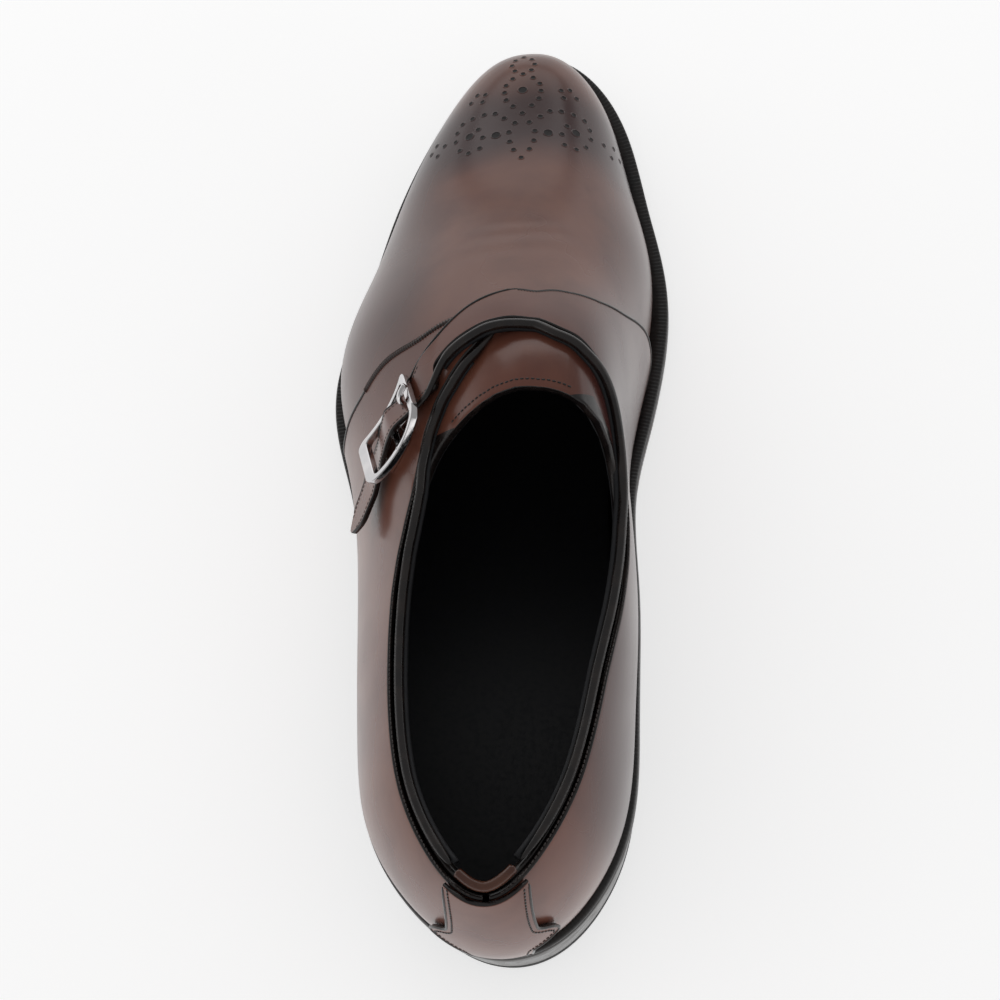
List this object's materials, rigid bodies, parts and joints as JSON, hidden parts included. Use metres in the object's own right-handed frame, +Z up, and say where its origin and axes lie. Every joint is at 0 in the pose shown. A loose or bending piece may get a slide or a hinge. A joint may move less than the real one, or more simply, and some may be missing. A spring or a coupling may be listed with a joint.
{
  "type": "monk strap shoe",
  "caption": "Dark brown calf monk strap shoe for a left foot, with a punched toe medallion, a polished buckle, black collar piping, a black welt and a low heel.",
  "frame": {"origin": "on the floor under the middle of the heel seat", "axes": "+Z up, +Y along the shoe to the toe, +X to the inner (medial) side of a left foot"},
  "size_m": [0.1066, 0.2964, 0.1031],
  "materials": {
    "calf": "burnished polished dark brown calf, near black at the toe",
    "lining": "smooth matte black lining leather",
    "brown_lining": "glossy brown rolled leather",
    "piping": "glossy black piping",
    "welt": "black waxed and wheeled edge",
    "sole_edge": "black waxed leather edge",
    "top_lift": "matte black rubber",
    "buckle_metal": "polished bright metal"
  },
  "bodies": {
    "root": {"upper": "calf", "outsole": "sole_edge", "welt": "welt", "insole": "lining", "heel_stack": "sole_edge", "heel_top_lift": "top_lift", "medial_quarter_strap": "calf", "lateral_quarter": "calf", "heel_strip": "calf", "heel_roll": "brown_lining", "medial_piping": "piping", "lateral_piping": "piping", "buckle_frame": "buckle_metal", "buckle_prong": "buckle_metal", "buckle_tab": "calf"}
  },
  "joints": []
}
